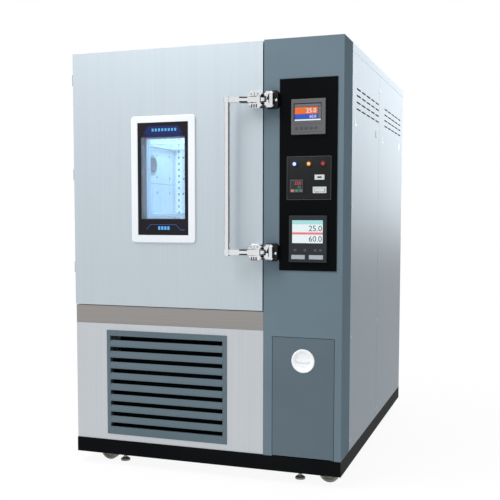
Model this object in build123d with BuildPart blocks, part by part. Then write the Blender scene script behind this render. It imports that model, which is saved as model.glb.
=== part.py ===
from build123d import *
import math
import os

os.makedirs("parts", exist_ok=True)

# Driving sizes of the body, in millimetres
body_width = 1240.0
body_depth = 1650.0
body_height = 1815.0
skirt_height = 65.0
castor_drop = 52.0
pipe_reach = 46.0
sheet = 2.0

# Hinge axis and pull bar, across and behind the front face, and how far they stand out
hinge_axis = (-16.0, 76.0)
knuckle_radius = 14.0
handle_bar_at = (763.5, -68.0)
lever_eye_radius = 15.5
hinge_reach = knuckle_radius - hinge_axis[0]
handle_reach = lever_eye_radius - handle_bar_at[1]

# The body's left side, front face and skirt foot, with the origin on the floor under the middle
left_x = hinge_reach - (body_width + hinge_reach) / 2
front_y = handle_reach - (handle_reach + body_depth + pipe_reach) / 2
skirt_z = castor_drop

# Door, control tower and insulated box, measured across, behind the front face and above the skirt foot
door_width = 897.0
door_foot = 685.5
door_top = 1811.0
door_depth = 70.0
gasket_depth = 11.7
cabinet_front = 82.0
tower_left = 902.0
tower_depth = 168.0
cover_flange = 35.0
side_seam = 840.0
cavity = ((108.5, 788.5), (cabinet_front, 1150.0), (800.0, 1700.0))
box_left = sheet
box_right = 898.0
box_foot = 686.0
box_top = body_height - sheet
box_back = 1252.0
baffle_at = 890.0

# Window in the door
glass = ((322.0, 562.5), (1003.5, 1494.0))
opening = ((338.5, 546.0), (1074.0, 1430.0))
frame_rim = ((290.0, 595.0), (970.0, 1522.0))
plug_inset = 10.0
plug_depth = 22.0

# Door hinges, handle and latches
hinge_heights = (830.0, 1250.0, 1670.0)
hinge_pin_radius = 7.0
latch_heights = (936.0, 1566.0)
handle_pivot = (890.0, -33.0)
handle_bar_ends = (919.0, 1579.0)
handle_bar_radius = 12.0
running_gap = 0.06

# Control tower instruments: each is a width span and a height span
panel = ((971.0, 1215.0), (860.5, 1650.0))
panel_proud = 3.0
recorder_face = ((1022.5, 1166.5), (1420.0, 1564.0))
limiter_face = ((1018.0, 1074.0), (1184.0, 1236.5))
usb_face = ((1121.5, 1162.5), (1235.5, 1256.0))
rocker_face = ((1114.5, 1171.0), (1181.0, 1207.0))
controller_face = ((1015.0, 1176.0), (896.0, 1089.0))
controller_covers = ((1026.5, 1084.0), (1101.5, 1161.0))
cover_heights = (909.0, 926.5)
lamp_places = (1036.4, 1096.6, 1156.6)
lamp_height = 1301.0
lamp_body_radius = 8.0

# Water-tank door and machine compartment
tank_door_span = ((942.5, 1208.0), (69.0, 578.0))
tank_door_pivot = (1205.0, 4.0)
tank_pin_radius = 3.0
cup_centre = (1075.5, 480.7)
cup_radius = 50.0
cup_body_radius = 42.0
grille_face = ((156.0, 735.0), (93.5, 571.5))
grille_slot_span = (173.0, 716.0)
grille_slot_pitch = 49.7
grille_slot_height = 20.0
grille_lowest_slot = 138.5
grille_slots = 9

# Water, drain and supply connections on the back
drain_spot = (300.0, 150.0)
inlet_spot = (180.0, 150.0)
gland_spot = (1060.0, 180.0)

# Castors and levelling feet
castor_inset = 95.0
castor_trail = 28.0
castor_wheel_radius = 45.0
castor_wheel_width = 32.0
kingpin_radius = 8.0
castor_to_foot = 103.0
foot_pad_radius = 22.0


def x_at(distance):
    return left_x + distance


def y_at(distance):
    return front_y + distance


def z_at(distance):
    return skirt_z + distance


def place(x, y, z):
    return (x_at(x), y_at(y), z_at(z))


def block(x, y, z, mode=Mode.ADD):
    """A box between two limits across, behind the front face and above the skirt foot."""
    middle = place(sum(x) / 2, sum(y) / 2, sum(z) / 2)
    with Locations(middle):
        Box(x[1] - x[0], y[1] - y[0], z[1] - z[0], mode=mode)


def around(middle, outline):
    """An outline on the front face, given from a middle point (across, above the skirt foot)."""
    return [(x_at(middle[0] + x), z_at(middle[1] + z)) for x, z in outline]


def grown(span, by):
    return (span[0] - by, span[1] + by)


def rod(middle, direction, length, radius, mode=Mode.ADD):
    """A cylinder centred on a place, along a direction."""
    with Locations(Plane(origin=place(*middle), z_dir=direction)):
        Cylinder(radius, length, mode=mode)


def turned(profile, foot, direction, mode=Mode.ADD):
    """A turned piece: the profile is (radius, distance along the axis) from the foot."""
    axis = Vector(*direction)
    radial = Vector(0, 1, 0) if abs(axis.X) > 0.5 else Vector(1, 0, 0)
    plane = Plane(origin=place(*foot), x_dir=radial, z_dir=radial.cross(axis))
    with BuildSketch(plane) as half:
        with BuildLine():
            Polyline(*profile, close=True)
        make_face()
    revolve(half.sketch, axis=Axis(place(*foot), direction), mode=mode)


def keep(piece, label):
    piece.part.label = label
    export_step(piece.part, f"parts/{label}.step")


# Base: a pressed skirt, open underneath, with lips, gussets and kingpins for the castors
castor_spots = [
    (castor_inset, castor_inset),
    (body_width - castor_inset, castor_inset),
    (castor_inset, body_depth - castor_inset),
    (body_width - castor_inset, body_depth - castor_inset),
]
lip_width = 10.0
skirt_wall = 3.0
beam_width = 50.0
beam_z = (22.0, 62.0)
gusset_z = (55.0, 62.0)


def foot_across(spot_x):
    """A levelling foot stands beside its castor, on the inner side."""
    return spot_x + castor_to_foot if spot_x < body_width / 2 else spot_x - castor_to_foot


with BuildPart() as base_frame:
    block((0, body_width), (0, body_depth), (0, skirt_height))
    offset(amount=-skirt_wall, openings=base_frame.faces().sort_by(Axis.Z)[0])
    inside_x = (skirt_wall, body_width - skirt_wall)
    inside_y = (skirt_wall, body_depth - skirt_wall)
    block(inside_x, inside_y, (0, skirt_wall))
    block(grown(inside_x, -lip_width), grown(inside_y, -lip_width), (0, skirt_wall), mode=Mode.SUBTRACT)
    for beam_x in (body_width / 4, body_width / 2, body_width * 3 / 4):
        beam = grown((beam_x, beam_x), beam_width / 2)
        hollow_z = (beam_z[0], beam_z[1] - skirt_wall)
        block(beam, inside_y, beam_z)
        block(grown(beam, -skirt_wall), inside_y, hollow_z, mode=Mode.SUBTRACT)
    for spot_x, spot_y in castor_spots:
        reach = sorted((spot_x, foot_across(spot_x)))
        block(grown(reach, 45), grown((spot_y, spot_y), 60), gusset_z)
        rod((spot_x, spot_y, 48), (0, 0, 1), 14, kingpin_radius)
keep(base_frame, "base_frame")

with BuildPart() as levelling_feet:
    for spot_x, spot_y in castor_spots:
        stem_top = castor_drop + gusset_z[0]
        pad = [(0, 0), (foot_pad_radius, 0), (foot_pad_radius, 7), (13, 14), (8, 16)]
        turned(pad + [(8, stem_top), (0, stem_top)], (foot_across(spot_x), spot_y, -castor_drop), (0, 0, 1))
        with BuildSketch(Plane.XY.offset(z_at(44))) as nut:
            with Locations((x_at(foot_across(spot_x)), y_at(spot_y))):
                RegularPolygon(15, 6)
        extrude(nut.sketch, amount=10)
keep(levelling_feet, "levelling_feet")


def castor_fork(spot_x, spot_y, rolls_along_x):
    """Swivel fork: raceway, bridge and two rounded legs, with the axle pin through them."""
    sweep_dir = (1, 0, 0) if rolls_along_x else (0, 1, 0)
    side_dir = (0, 1, 0) if rolls_along_x else (1, 0, 0)
    axle_z = castor_wheel_radius - castor_drop
    hub = (spot_x + castor_trail * sweep_dir[0], spot_y + castor_trail * sweep_dir[1], axle_z)
    raceway = [(kingpin_radius + running_gap, 42), (26, 42), (30, 46), (30, 54.6)]
    turned(raceway + [(kingpin_radius + running_gap, 54.6)], (spot_x, spot_y, 0), (0, 0, 1))
    for side in (-1, 1):
        leg_at = [hub[axis] + side * 20 * side_dir[axis] for axis in range(3)]
        plane = Plane(origin=place(*leg_at), x_dir=sweep_dir, z_dir=side_dir)
        up = 1 if plane.y_dir.Z > 0 else -1
        with BuildSketch(plane) as leg:
            with BuildLine():
                low = [(-16, 0), (16, 0)]
                ThreePointArc(low[0], (0, -16 * up), low[1])
                Polyline(low[1], (8, 53 * up), (-56, 53 * up), low[0])
            make_face()
        extrude(leg.sketch, amount=1.8, both=True)
    if rolls_along_x:
        block((hub[0] - 56, hub[0] + 8), grown((hub[1], hub[1]), 21.8), (42, 46))
    else:
        block(grown((hub[0], hub[0]), 21.8), (hub[1] - 56, hub[1] + 8), (42, 46))
    rod((spot_x, spot_y, 48), (0, 0, 1), 14, kingpin_radius + running_gap, mode=Mode.SUBTRACT)
    rod(hub, side_dir, 48, 6)


def castor_wheel(spot_x, spot_y, rolls_along_x):
    """Moulded wheel: tyre with rounded shoulders, a recessed web on both sides and a hub bore."""
    side_dir = (0, 1, 0) if rolls_along_x else (1, 0, 0)
    half = castor_wheel_width / 2
    hub_x = spot_x + (castor_trail if rolls_along_x else 0)
    hub_y = spot_y + (0 if rolls_along_x else castor_trail)
    rim = castor_wheel_radius
    outer = [(rim - 4, -half), (rim, 4 - half), (rim, half - 4), (rim - 4, half)]
    inner = [(rim - 12, half), (rim - 14, 5), (13, 5), (12, half), (6 + running_gap, half)]
    lower = [(6 + running_gap, -half), (12, -half), (13, -5), (rim - 14, -5), (rim - 12, -half)]
    turned(outer + inner + lower, (hub_x, hub_y, castor_wheel_radius - castor_drop), side_dir)


castor_names = ("front_left", "front_right", "rear_left", "rear_right")
for name, (spot_x, spot_y) in zip(castor_names[:2], castor_spots[:2]):
    with BuildPart() as fork:
        castor_fork(spot_x, spot_y, True)
    keep(fork, f"{name}_castor_fork")
with BuildPart() as rear_castor_forks:
    for spot_x, spot_y in castor_spots[2:]:
        castor_fork(spot_x, spot_y, False)
keep(rear_castor_forks, "rear_castor_forks")
for index, name in enumerate(castor_names):
    with BuildPart() as wheel:
        castor_wheel(*castor_spots[index], index < 2)
    keep(wheel, f"{name}_castor_wheel")

# Insulated box: stainless liner with a front flange, foam round it, and the hole for the fan shaft
fan_centre = (448.5, 1520.0)
port_centre = (607.0, 1350.0)
port_radius = 40.0
port_wall = 4.0
shaft_hole = 20.0

with BuildPart() as inner_liner:
    block(grown(cavity[0], sheet), (cabinet_front, cavity[1][1] + sheet), grown(cavity[2], sheet))
    block((box_left, box_right), (cabinet_front, cabinet_front + sheet), (box_foot, box_top))
    block(*cavity, mode=Mode.SUBTRACT)
    rod((fan_centre[0], 1150, fan_centre[1]), (0, 1, 0), 40, shaft_hole, mode=Mode.SUBTRACT)
    port_spot = (cavity[0][0], *port_centre)
    rod(port_spot, (1, 0, 0), 20, port_radius + port_wall, mode=Mode.SUBTRACT)
keep(inner_liner, "inner_liner")

with BuildPart() as cabinet_foam:
    block((box_left, box_right), (cabinet_front + sheet, box_back), (box_foot, box_top))
    hollow_y = (cabinet_front, cavity[1][1] + sheet)
    block(grown(cavity[0], sheet), hollow_y, grown(cavity[2], sheet), mode=Mode.SUBTRACT)
    rod((fan_centre[0], 1200, fan_centre[1]), (0, 1, 0), 120, shaft_hole, mode=Mode.SUBTRACT)
    port_middle = (cavity[0][0] / 2, *port_centre)
    rod(port_middle, (1, 0, 0), 130, port_radius + port_wall, mode=Mode.SUBTRACT)
keep(cabinet_foam, "cabinet_foam")

# Cable port: a flanged sleeve through the left wall and a soft stepped plug
with BuildPart() as port_sleeve:
    bore = port_radius
    outside = bore + port_wall
    flange = 54
    wall_end = cavity[0][0]
    sleeve_profile = [(bore, -4), (flange, -4), (flange, 0), (outside, 0), (outside, wall_end)]
    sleeve_profile += [(flange, wall_end), (flange, wall_end + 3), (bore, wall_end + 3)]
    turned(sleeve_profile, (0, *port_centre), (1, 0, 0))
keep(port_sleeve, "port_sleeve")

with BuildPart() as port_plug:
    grip = [(0, -14), (26, -14), (27, -6), (46, -6), (46, -4.4), (39.6, -4.4)]
    core = [(38.6, wall_end + 8), (0, wall_end + 8)]
    turned(grip + core, (0, *port_centre), (1, 0, 0))
keep(port_plug, "port_plug")

# Air baffle at the back of the working space, with an outlet row above and a return grid below
with BuildPart() as air_baffle:
    block(grown(cavity[0], -1), (baffle_at, baffle_at + 22), grown(cavity[2], -1))
    offset(amount=-1.5, openings=air_baffle.faces().sort_by(Axis.Y)[-1])
    with BuildSketch(Plane.XZ.offset(-y_at(baffle_at + 5))) as outlets:
        with Locations((x_at(fan_centre[0]), z_at(1610))):
            with GridLocations(60, 1, 10, 1):
                Rectangle(44, 90)
        with Locations((x_at(fan_centre[0]), z_at(880))):
            with GridLocations(86, 26, 7, 4):
                Rectangle(66, 12)
    extrude(outlets.sketch, amount=10, mode=Mode.SUBTRACT)
keep(air_baffle, "air_baffle")

# Slotted uprights on the baffle and the side walls, with the shelf runners hooked on them
shelf_tops = (1098.0, 1452.0)
upright_z = (850.0, 1662.0)
runner_y = (150.0, baffle_at - 3)


def upright(x, y, slots_along):
    """A shallow channel with a column of hanging slots."""
    block(x, y, upright_z)
    middle = place(sum(x) / 2, sum(y) / 2, sum(upright_z) / 2)
    with Locations(Plane(origin=middle, x_dir=(0, 0, 1), z_dir=slots_along)):
        with GridLocations(33.3, 1, 24, 1):
            Box(13, 9, 40, mode=Mode.SUBTRACT)


with BuildPart() as shelf_supports:
    wall_left, wall_right = cavity[0]
    for back_x in ((wall_left + 12, wall_left + 46), (wall_right - 46, wall_right - 12)):
        upright(back_x, (baffle_at - 3, baffle_at), (0, 1, 0))
    for side_x in ((wall_left, wall_left + 3), (wall_right - 3, wall_right)):
        upright(side_x, (190, 224), (1, 0, 0))
    for shelf_top in shelf_tops:
        for side, wall_x in ((1, wall_left + 3), (-1, wall_right - 3)):
            ledge = sorted((wall_x, wall_x + side * 26))
            web = sorted((wall_x, wall_x + side * 2))
            block(ledge, runner_y, (shelf_top - 10, shelf_top - 8))
            block(web, runner_y, (shelf_top - 24, shelf_top - 8))
keep(shelf_supports, "shelf_supports")


def wire(middle, direction, length, radius):
    """A drawn wire, given eight flats."""
    foot = [at - length / 2 * step for at, step in zip(middle, direction)]
    with BuildSketch(Plane(origin=place(*foot), z_dir=direction)) as section:
        RegularPolygon(radius, 8)
    extrude(section.sketch, amount=length)


def wire_shelf(shelf_top):
    """A welded wire shelf: a rod rim, a middle cross rod and a row of thin wires on top."""
    span_x = (wall_left + 9, wall_right - 9)
    span_y = (152.0, baffle_at - 14)
    middle_x = sum(span_x) / 2
    middle_y = sum(span_y) / 2
    rim_z = shelf_top - 4.1
    for rim_y in (span_y[0], middle_y, span_y[1]):
        wire((middle_x, rim_y, rim_z), (1, 0, 0), span_x[1] - span_x[0] + 6, 3.6)
    for rim_x in span_x:
        wire((rim_x, middle_y, rim_z), (0, 1, 0), span_y[1] - span_y[0], 3.4)
    wires = 19
    for index in range(wires):
        wire_x = span_x[0] + (index + 1) * (span_x[1] - span_x[0]) / (wires + 1)
        wire((wire_x, middle_y, shelf_top - 1), (0, 1, 0), span_y[1] - span_y[0] + 4, 2)


with BuildPart() as lower_shelf:
    wire_shelf(shelf_tops[0])
keep(lower_shelf, "lower_shelf")
with BuildPart() as upper_shelf:
    wire_shelf(shelf_tops[1])
keep(upper_shelf, "upper_shelf")

# Air conditioning section behind the baffle
with BuildPart() as circulation_fan:
    back_plate = [(0, 0), (34, 0), (34, 62), (150, 62), (150, 66), (0, 66)]
    turned(back_plate, (fan_centre[0], 980, fan_centre[1]), (0, 1, 0))
    rod((fan_centre[0], 1170, fan_centre[1]), (0, 1, 0), 260, 9)
    hub_plane = Plane(origin=place(fan_centre[0], 1012, fan_centre[1]), z_dir=(0, 1, 0))
    with Locations(hub_plane):
        with PolarLocations(118, 9):
            with Locations(Location((0, 0, 0), (0, 0, 50))):
                Box(56, 3, 62)
    turned([(112, 0), (150, 0), (150, 3), (112, 3)], (fan_centre[0], 978, fan_centre[1]), (0, 1, 0))
keep(circulation_fan, "circulation_fan")

with BuildPart() as fan_motor:
    motor_y = box_back + 34
    shaft_bore = 9 + running_gap
    casing = [(shaft_bore, 0), (48, 0), (92, 14), (92, 190), (70, 206), (0, 206), (0, 60), (shaft_bore, 60)]
    turned(casing, (fan_centre[0], motor_y, fan_centre[1]), (0, 1, 0))
    hub_plane = Plane(origin=place(fan_centre[0], motor_y + 104, fan_centre[1]), z_dir=(0, 1, 0))
    with Locations(hub_plane):
        with PolarLocations(94, 16):
            Box(10, 4, 150)
    plate_z = grown((fan_centre[1], fan_centre[1]), 120)
    bracket_z = grown((fan_centre[1], fan_centre[1]), 30)
    for side in (-1, 1):
        edge = fan_centre[0] + side * 96
        block(sorted((edge, edge + side * 24)), (box_back, motor_y + 150), bracket_z)
    block(grown((fan_centre[0], fan_centre[0]), 120), (box_back, box_back + 5), plate_z)
    rod((fan_centre[0], box_back, fan_centre[1]), (0, 1, 0), 30, shaft_hole, mode=Mode.SUBTRACT)
keep(fan_motor, "fan_motor")

with BuildPart() as heater_coil:
    runs = 5
    run_gap = 52.0
    half_run = 250.0
    corners = []
    for index in range(runs):
        run_z = 1180 + index * run_gap
        ends = [(-half_run, run_z), (half_run, run_z)]
        corners += ends if index % 2 == 0 else ends[::-1]
    path_points = [place(fan_centre[0] + x, 1060, z) for x, z in corners]
    with BuildLine() as heater_path:
        FilletPolyline(*path_points, radius=run_gap / 2 - 0.5)
    with BuildSketch(Plane(origin=path_points[0], z_dir=(1, 0, 0))) as tube:
        RegularPolygon(6.5, 6)
    sweep(tube.sketch, path=heater_path.line)
    for post_x in (fan_centre[0] - 180, fan_centre[0] + 180):
        block((post_x - 8, post_x + 8), (1066, 1070), (1160, 1410))
        for post_z in (1170, 1400):
            rod((post_x, 1110, post_z), (0, 1, 0), 80, 5)
keep(heater_coil, "heater_coil")

with BuildPart() as evaporator_coil:
    coil_x = (150.0, 747.0)
    coil_y = (918.0, 1008.0)
    coil_z = (870.0, 1130.0)
    block(coil_x, coil_y, coil_z)
    fin_count = 24
    for index in range(fin_count):
        gap_x = coil_x[0] + 14 + index * (coil_x[1] - coil_x[0] - 28) / (fin_count - 1)
        gap = grown((gap_x, gap_x), 8)
        block(gap, (coil_y[0], coil_y[0] + 12), grown(coil_z, 1), mode=Mode.SUBTRACT)
    for end_x in (coil_x[0] - 4, coil_x[1]):
        block((end_x, end_x + 4), grown(coil_y, 4), (cavity[2][0], coil_z[1] + 10))
    rod((coil_x[1] + 18, coil_y[1] - 30, 1000), (0, 0, 1), 240, 9)
    for stub_z in (900, 1000, 1100):
        rod((coil_x[1] + 10, coil_y[1] - 30, stub_z), (1, 0, 0), 20, 6)
keep(evaporator_coil, "evaporator_coil")

with BuildPart() as humidifier:
    boiler = [(0, 0), (52, 0), (60, 8), (60, 292), (52, 300), (0, 300)]
    turned(boiler, (300, 1086, 862), (1, 0, 0))
    rod((520, 1086, 936), (0, 0, 1), 50, 12)
    rod((606, 1086, 862), (1, 0, 0), 14, 30)
    for foot_x in (360, 540):
        block((foot_x - 10, foot_x + 10), (1046, 1126), (cavity[2][0], 812))
keep(humidifier, "humidifier")

# Outer panels: folded sheet with return edges
with BuildPart() as left_side_panel:
    with BuildSketch(Plane.YZ.offset(x_at(0))) as side_outline:
        with BuildLine():
            lower_z = z_at(skirt_height)
            shelf_z = z_at(door_foot - 3.5)
            upper_z = z_at(body_height - cover_flange - 1)
            front_low = y_at(6.2)
            front_high = y_at(cabinet_front)
            rear = y_at(body_depth - sheet)
            outline = [(front_low, lower_z), (rear, lower_z), (rear, upper_z), (front_high, upper_z)]
            Polyline(*outline, (front_high, shelf_z), (front_low, shelf_z), close=True)
        make_face()
        with Locations((y_at(port_centre[0]), z_at(port_centre[1]))):
            Circle(port_radius + port_wall, mode=Mode.SUBTRACT)
    extrude(amount=sheet)
    block((sheet, 22), (body_depth - 2 * sheet, body_depth - sheet), (skirt_height, 1779))
    block((sheet, 20), (110, body_depth - 60), (skirt_height, skirt_height + sheet))
keep(left_side_panel, "left_side_panel")

vent_rows = 4
vent_columns = 5
vent_pitch = 117.8
vent_rise = 28.6
vent_slot = (88.0, 7.0)


def side_panel(y, vents_from):
    """A right side panel: a tray of folded sheet with a field of vent slots."""
    block((body_width - 22, body_width), y, (skirt_height + 1, body_height - cover_flange - 1))
    tray = faces().sort_by(Axis.X)[0]
    offset(amount=-sheet, openings=tray)
    middle_y = y_at(vents_from + 2 * vent_pitch)
    middle_z = z_at(1550 + 1.5 * vent_rise)
    with BuildSketch(Plane.YZ.offset(x_at(body_width - 5))) as vents:
        with Locations((middle_y, middle_z)):
            with GridLocations(vent_pitch, vent_rise, vent_columns, vent_rows):
                Rectangle(*vent_slot)
    extrude(vents.sketch, amount=10, mode=Mode.SUBTRACT)


with BuildPart() as front_side_panel:
    side_panel((tower_depth + 1, side_seam), 307.0)
keep(front_side_panel, "front_side_panel")
with BuildPart() as rear_side_panel:
    side_panel((side_seam + 2, body_depth - sheet - 0.5), 1045.0)
keep(rear_side_panel, "rear_side_panel")

with BuildPart() as top_cover:
    with BuildSketch(Plane.XZ.offset(-y_at(cabinet_front))) as cover_section:
        with BuildLine():
            top = z_at(body_height)
            foot = z_at(body_height - cover_flange)
            outer = [(x_at(0), foot), (x_at(0), top), (x_at(body_width), top), (x_at(body_width), foot)]
            inner = [(x_at(body_width - sheet), foot), (x_at(body_width - sheet), top - sheet)]
            Polyline(*outer, *inner, (x_at(sheet), top - sheet), (x_at(sheet), foot), close=True)
        make_face()
    extrude(amount=-(body_depth - cabinet_front))
    notch = ((tower_left - 1, body_width + 1), (cabinet_front - 1, tower_depth + 1))
    block(*notch, (body_height - cover_flange - 1, body_height + 1), mode=Mode.SUBTRACT)
    cover_foot = body_height - cover_flange
    back_y = (body_depth - sheet, body_depth)
    block((sheet, body_width - sheet), back_y, (cover_foot, body_height - sheet))
keep(top_cover, "top_cover")

with BuildPart() as rear_panel:
    block((sheet, body_width - sheet), back_y, (skirt_height + 1, cover_foot - 1))
    with BuildSketch(Plane.XZ.offset(-y_at(body_depth - 10))) as rear_vents:
        with Locations((x_at(500), z_at(330))):
            with GridLocations(104, 26, 5, 10):
                Rectangle(84, 9)
        with Locations((x_at(448.5), z_at(1520))):
            with GridLocations(104, 26, 3, 5):
                Rectangle(84, 9)
    extrude(rear_vents.sketch, amount=-20, mode=Mode.SUBTRACT)
    for spot, hole in ((drain_spot, 8), (inlet_spot, 5), (gland_spot, 15)):
        rod((spot[0], body_depth, spot[1]), (0, 1, 0), 10, hole, mode=Mode.SUBTRACT)
keep(rear_panel, "rear_panel")

# Front of the machine compartment
with BuildPart() as front_rail:
    with BuildSketch(Plane.YZ.offset(x_at(sheet))) as rail_section:
        with BuildLine():
            rail_foot = z_at(602.5)
            rail_top = z_at(door_foot - 3.5)
            front = y_at(4)
            back = y_at(cabinet_front - 0.5)
            outside = [(back, rail_foot + 2), (front + 2, rail_foot + 2), (front + 2, rail_top - 2)]
            inside = [(back, rail_top - 2), (back, rail_top), (front, rail_top), (front, rail_foot)]
            Polyline(*outside, *inside, (back, rail_foot), close=True)
        make_face()
    extrude(amount=tower_left - sheet - 2)
    corner = front_rail.edges().filter_by(Axis.Y).group_by(Axis.Z)[-1].sort_by(Axis.X)[0]
    chamfer(corner, length=5)
keep(front_rail, "front_rail")

panel_opening = (grown(grille_face[0], -8), grown(grille_face[1], -8))

with BuildPart() as lower_front_panel:
    block((sheet, tower_left - 2), (4, 24), (skirt_height + 1, 601.5))
    offset(amount=-sheet, openings=lower_front_panel.faces().sort_by(Axis.Y)[-1])
    block(panel_opening[0], (0, 12), panel_opening[1], mode=Mode.SUBTRACT)
keep(lower_front_panel, "lower_front_panel")

# Intake grille: a flanged frame with pressed louvre blades between the slots
with BuildPart() as intake_grille:
    block(grille_face[0], (1, 4), grille_face[1])
    block(grown(grille_face[0], -9), (4, 40), grown(grille_face[1], -9))
    slot_x = grille_slot_span
    slots_low = grille_lowest_slot - grille_slot_height / 2
    slots_high = slots_low + (grille_slots - 1) * grille_slot_pitch + grille_slot_height
    block(slot_x, (0, 41), (slots_low, slots_high), mode=Mode.SUBTRACT)
    block(grown(slot_x, 6), (6, 41), grown((slots_low, slots_high), 6), mode=Mode.SUBTRACT)
    with BuildSketch(Plane.YZ.offset(x_at(slot_x[0]))) as blade:
        for index in range(grille_slots - 1):
            foot_z = z_at(slots_low + grille_slot_height + index * grille_slot_pitch)
            head_z = foot_z + grille_slot_pitch - grille_slot_height
            nose_y = y_at(-1)
            with BuildLine():
                front = [(nose_y, foot_z), (nose_y, foot_z + 8), (y_at(4.5), head_z), (y_at(20), head_z - 9)]
                back = [(y_at(20), head_z - 11), (y_at(7.5), head_z - 3.5), (nose_y + 3, foot_z + 7)]
                Polyline(*front, *back, (nose_y + 3, foot_z), close=True)
            make_face()
    extrude(blade.sketch, amount=slot_x[1] - slot_x[0])
keep(intake_grille, "intake_grille")

# Control tower: a folded shell, open behind and below, cut out for the panel and the tank door
with BuildPart() as tower_shell:
    block((tower_left, body_width), (0, tower_depth), (skirt_height, body_height))
    open_back = tower_shell.faces().sort_by(Axis.Y)[-1]
    open_foot = tower_shell.faces().sort_by(Axis.Z)[0]
    offset(amount=-sheet, openings=[open_back, open_foot])
    block(grown(panel[0], -7), (-1, 10), grown(panel[1], -7), mode=Mode.SUBTRACT)
    door_gap = 2.0
    doorway = (grown(tank_door_span[0], door_gap), (0, tank_door_span[1][1] + door_gap))
    block(doorway[0], (-1, 10), doorway[1], mode=Mode.SUBTRACT)
    pivot_x, pivot_y = tank_door_pivot
    for lug_foot in (tank_door_span[1][0] - 3, tank_door_span[1][1] + 1):
        block((pivot_x - 9, tank_door_span[0][1] + 8), (sheet, 16), (lug_foot, lug_foot + 2))
        bore = tank_pin_radius + running_gap
        rod((pivot_x, pivot_y, lug_foot + 1), (0, 0, 1), 10, bore, mode=Mode.SUBTRACT)
keep(tower_shell, "tower_shell")

with BuildPart() as tank_door:
    block(tank_door_span[0], (0, 15), tank_door_span[1])
    offset(amount=-sheet, openings=tank_door.faces().sort_by(Axis.Y)[-1])
    with BuildSketch(Plane.XZ.offset(-y_at(8))) as cup_hole:
        with Locations((x_at(cup_centre[0]), z_at(cup_centre[1]))):
            Circle(cup_body_radius + 0.2)
    extrude(cup_hole.sketch, amount=20, mode=Mode.SUBTRACT)
    for pin_z in tank_door_span[1]:
        rod((*tank_door_pivot, pin_z), (0, 0, 1), 7, tank_pin_radius)
keep(tank_door, "tank_door")

with BuildPart() as cup_pull:
    face_profile = [(0, 6), (30, 5), (43, -2), (48, -2.5), (cup_radius, 0)]
    back_profile = [(cup_body_radius, 0), (34, 12), (0, 13)]
    turned(face_profile + back_profile, (cup_centre[0], 0, cup_centre[1]), (0, 1, 0))
    left_tip, low, right_tip, high = around(cup_centre, [(-34, -2), (0, -19), (34, -2), (0, -7)])
    with BuildSketch(Plane.XZ.offset(-y_at(9))) as smile:
        with BuildLine():
            ThreePointArc(left_tip, low, right_tip)
            ThreePointArc(right_tip, high, left_tip)
        make_face()
    extrude(amount=20, mode=Mode.SUBTRACT)
keep(cup_pull, "cup_pull")

with BuildPart() as water_tank:
    block((958, 1192), (30, 160), (66, 520))
    fillet(water_tank.edges().filter_by(Axis.Z), radius=14)
    neck = [(0, 520), (30, 520), (30, 534), (36, 534), (36, 556), (33, 559), (0, 559)]
    turned(neck, (1075, 95, 0), (0, 0, 1))
keep(water_tank, "water_tank")

# Control panel and its instruments
with BuildPart() as panel_plate:
    block(panel[0], (-panel_proud, 0), panel[1])
    for face_x, face_z in (recorder_face, limiter_face, usb_face, rocker_face, controller_face):
        block(grown(face_x, -4), (-9, 9), grown(face_z, -4), mode=Mode.SUBTRACT)
    for lamp_x in lamp_places:
        rod((lamp_x, 0, lamp_height), (0, 1, 0), 20, lamp_body_radius + 0.2, mode=Mode.SUBTRACT)
keep(panel_plate, "panel_plate")


def bezel(face, proud, body_back, window, recess):
    """A panel instrument: a rounded bezel, a body behind the panel and a sunk window."""
    block(face[0], (-panel_proud - proud, -panel_proud), face[1])
    corners_in_face = edges().filter_by(Axis.Y)
    fillet(corners_in_face, radius=3)
    front_edges = faces().sort_by(Axis.Y)[0].edges()
    chamfer(front_edges, length=1.5)
    block(grown(face[0], -4), (-panel_proud, body_back), grown(face[1], -4))
    front = -panel_proud - proud
    block(window[0], (front - 1, front + recess), window[1], mode=Mode.SUBTRACT)


with BuildPart() as recorder:
    bezel(recorder_face, 9, 150, ((1033.0, 1150.0), (1474.0, 1547.0)), 3)
    block((1034, 1155), (-panel_proud - 10, -panel_proud - 8), (1430, 1431.5), mode=Mode.SUBTRACT)
    block((1034, 1155), (-panel_proud - 10, -panel_proud - 8), (1462, 1463.5), mode=Mode.SUBTRACT)
keep(recorder, "recorder")

with BuildPart() as limiter:
    bezel(limiter_face, 6, 90, ((1022.0, 1070.0), (1199.0, 1232.0)), 2)
keep(limiter, "limiter")

with BuildPart() as controller:
    bezel(controller_face, 10, 110, ((1028.5, 1159.0), (975.0, 1070.0)), 3)
    for cover_x in controller_covers:
        pocket_z = (cover_heights[0] - 2, cover_heights[1] + 1)
        block(grown(cover_x, 1), (-20, -panel_proud - 3.5), pocket_z, mode=Mode.SUBTRACT)
        rod((sum(cover_x) / 2, -panel_proud - 7, cover_heights[0] + 3), (1, 0, 0), 59.4 + 4.5, 1.5)
keep(controller, "controller")

for side, cover_x in zip(("left", "right"), controller_covers):
    with BuildPart() as port_cover:
        hinge_z = cover_heights[0] + 3
        block(cover_x, (-panel_proud - 10.5, -panel_proud - 8), cover_heights)
        rod((sum(cover_x) / 2, -panel_proud - 7, hinge_z), (1, 0, 0), cover_x[1] - cover_x[0], 3)
        bore = 1.5 + running_gap
        rod((sum(cover_x) / 2, -panel_proud - 7, hinge_z), (1, 0, 0), 80, bore, mode=Mode.SUBTRACT)
    keep(port_cover, f"controller_{side}_cover")

with BuildPart() as pilot_lamps:
    for lamp_x in lamp_places:
        lens = [(0, -7.5), (7, -5.5), (11, -4), (11, 0)]
        body = [(lamp_body_radius, 0), (lamp_body_radius, 34), (0, 34)]
        turned(lens + body, (lamp_x, -panel_proud, lamp_height), (0, 1, 0))
keep(pilot_lamps, "pilot_lamps")

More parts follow.
